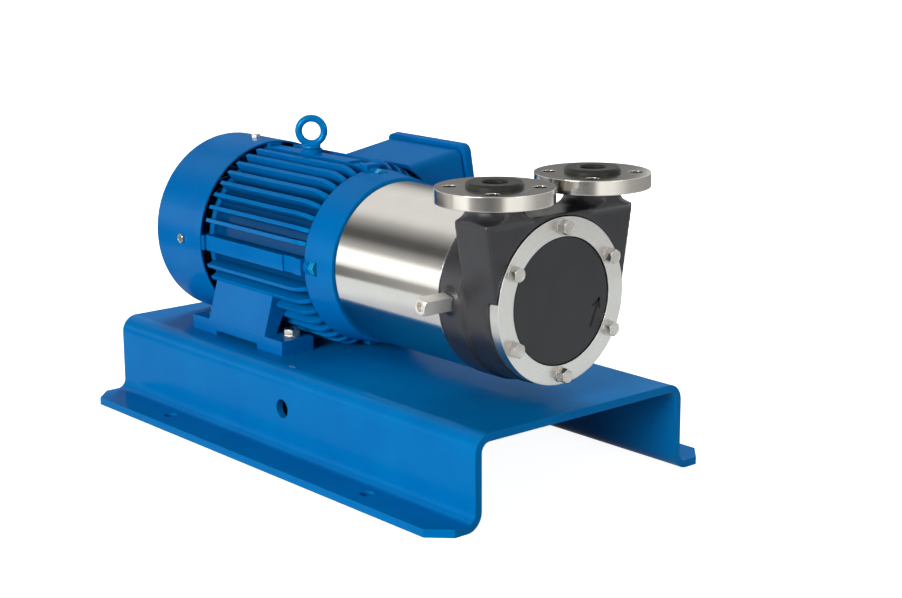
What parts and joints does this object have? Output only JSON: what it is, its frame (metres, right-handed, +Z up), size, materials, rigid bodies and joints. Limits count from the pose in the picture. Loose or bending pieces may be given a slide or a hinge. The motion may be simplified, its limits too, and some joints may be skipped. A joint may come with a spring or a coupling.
{
  "type": "magnetic drive pump",
  "caption": "Close-coupled magnetic drive pump: lined turbine pump with two top flanges, plain lantern and finned foot motor on a bent sheet base.",
  "frame": {"origin": "centre of the foundation bolt pattern on the baseplate's underside", "axes": "+Y from the pump's front cover to the motor's fan cowl, along the shaft; +Z up, along the nozzles; +X towards the terminal box"},
  "size_m": [0.368, 0.6186, 0.3325],
  "materials": {
    "base_paint": "gloss",
    "motor_paint": "gloss",
    "stainless": "brushed",
    "bare_steel": "satin",
    "casing_coating": "satin",
    "dark_liner": "satin",
    "white_liner": "matte",
    "rubber": "matte",
    "core_steel": "satin",
    "copper": "satin",
    "brass": "satin",
    "shaft_steel": "ground",
    "magnet": "satin",
    "ceramic": "polished",
    "fan_plastic": "matte",
    "shell_composite": "satin",
    "board_plastic": "matte"
  },
  "bodies": {
    "root": {"baseplate": "base_paint", "blanking_plug": "brass", "cable_gland": "brass", "casing_bolts": "bare_steel", "casing_liner": "white_liner", "containment_shell": "shell_composite", "cover_liner": "white_liner", "cover_seal": "rubber", "cowl_screws": "bare_steel", "discharge_flange": "stainless", "discharge_port_liner": "dark_liner", "drive_bearing_outer_ring": "shaft_steel", "drive_end_shield": "motor_paint", "end_shield_bolts": "motor_paint", "eyebolt": "motor_paint", "fan_bearing_outer_ring": "shaft_steel", "fan_cowl": "motor_paint", "fan_end_shield": "motor_paint", "fan_shield_bolts": "bare_steel", "foot_bolts": "bare_steel", "foot_nuts": "bare_steel", "foot_washers": "bare_steel", "front_cover": "casing_coating", "lantern": "stainless", "lantern_bolts": "bare_steel", "lid_screws": "bare_steel", "motor_frame": "motor_paint", "pump_casing": "casing_coating", "pump_shaft": "ceramic", "retaining_ring": "stainless", "ring_bolts": "bare_steel", "ring_washers": "bare_steel", "side_stub": "stainless", "stator_core": "core_steel", "stator_windings": "copper", "suction_flange": "stainless", "suction_port_liner": "dark_liner", "terminal_board": "board_plastic", "terminal_box": "motor_paint", "terminal_box_gasket": "rubber", "terminal_box_lid": "motor_paint", "terminal_studs": "brass", "thrust_rings": "ceramic"},
    "motor_rotor": {"motor_shaft": "shaft_steel", "rotor_core": "core_steel", "shaft_key": "shaft_steel", "drive_bearing_inner_ring": "shaft_steel", "fan_bearing_inner_ring": "shaft_steel", "cooling_fan": "fan_plastic", "fan_clip": "shaft_steel", "outer_magnet_carrier": "core_steel", "outer_magnets": "magnet", "carrier_set_screw": "bare_steel"},
    "pump_rotor": {"impeller": "white_liner", "inner_magnet_carrier": "white_liner", "inner_magnets": "magnet", "bearing_bushes": "ceramic"}
  },
  "joints": [
    {"name": "motor_rotor_spin", "type": "hinge", "parent": "root", "child": "motor_rotor", "pos_m": [0, 0, 0.192], "axis": [0, 1, 0], "continuous": true},
    {"name": "pump_rotor_spin", "type": "hinge", "parent": "root", "child": "pump_rotor", "pos_m": [0, -0.24, 0.192], "axis": [0, 1, 0], "continuous": true}
  ],
  "couplings": [
    {"joint": "pump_rotor_spin", "follows": "motor_rotor_spin", "ratio": 1}
  ]
}
